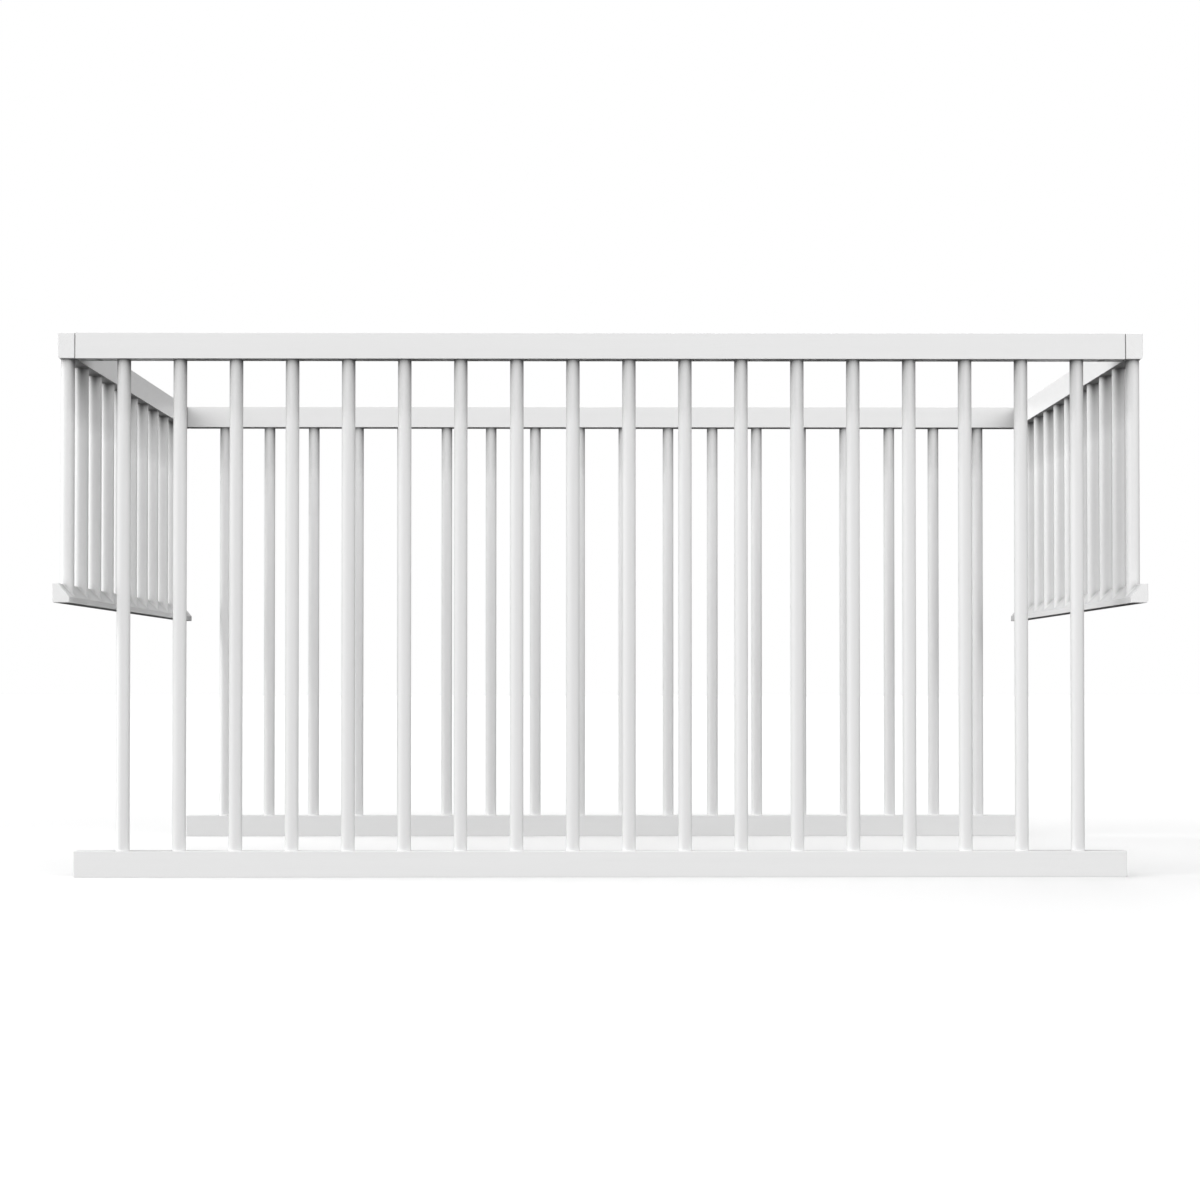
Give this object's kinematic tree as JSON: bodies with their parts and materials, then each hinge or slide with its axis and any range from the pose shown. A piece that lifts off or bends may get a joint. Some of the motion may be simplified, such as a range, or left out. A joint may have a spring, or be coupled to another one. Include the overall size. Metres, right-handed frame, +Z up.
{
  "type": "playpen",
  "caption": "White slatted wooden playpen: tall front and back dowel panels, joined at the top corners by half-height end panels whose bevelled lower rails reach past the corners.",
  "frame": {"origin": "on the floor, under the middle of the play space", "axes": "+X along the long side, to the right as seen from the front; +Y from the front panel to the back panel; +Z up"},
  "size_m": [1.448, 0.821, 0.725],
  "materials": {
    "lacquered_rail": "smooth white satin lacquer on solid beech",
    "lacquered_dowel": "smooth white satin lacquer on turned beech",
    "zinc_plated_steel": "bright zinc plating",
    "bare_beech": "bare wood"
  },
  "bodies": {
    "root": {"front_top_rail": "lacquered_rail", "front_bottom_rail": "lacquered_rail", "back_top_rail": "lacquered_rail", "back_bottom_rail": "lacquered_rail", "left_top_rail": "lacquered_rail", "left_bottom_rail": "lacquered_rail", "right_top_rail": "lacquered_rail", "right_bottom_rail": "lacquered_rail", "front_dowel_01": "lacquered_dowel", "front_dowel_02": "lacquered_dowel", "front_dowel_03": "lacquered_dowel", "front_dowel_04": "lacquered_dowel", "front_dowel_05": "lacquered_dowel", "front_dowel_06": "lacquered_dowel", "front_dowel_07": "lacquered_dowel", "front_dowel_08": "lacquered_dowel", "front_dowel_09": "lacquered_dowel", "front_dowel_10": "lacquered_dowel", "front_dowel_11": "lacquered_dowel", "front_dowel_12": "lacquered_dowel", "front_dowel_13": "lacquered_dowel", "front_dowel_14": "lacquered_dowel", "front_dowel_15": "lacquered_dowel", "front_dowel_16": "lacquered_dowel", "front_dowel_17": "lacquered_dowel", "front_dowel_18": "lacquered_dowel", "back_dowel_01": "lacquered_dowel", "back_dowel_02": "lacquered_dowel", "back_dowel_03": "lacquered_dowel", "back_dowel_04": "lacquered_dowel", "back_dowel_05": "lacquered_dowel", "back_dowel_06": "lacquered_dowel", "back_dowel_07": "lacquered_dowel", "back_dowel_08": "lacquered_dowel", "back_dowel_09": "lacquered_dowel", "back_dowel_10": "lacquered_dowel", "back_dowel_11": "lacquered_dowel", "back_dowel_12": "lacquered_dowel", "back_dowel_13": "lacquered_dowel", "back_dowel_14": "lacquered_dowel", "back_dowel_15": "lacquered_dowel", "back_dowel_16": "lacquered_dowel", "back_dowel_17": "lacquered_dowel", "back_dowel_18": "lacquered_dowel", "left_dowels": "lacquered_dowel", "right_dowels": "lacquered_dowel", "corner_bolts": "zinc_plated_steel", "barrel_nuts": "zinc_plated_steel", "locating_pins": "bare_beech"}
  },
  "joints": []
}
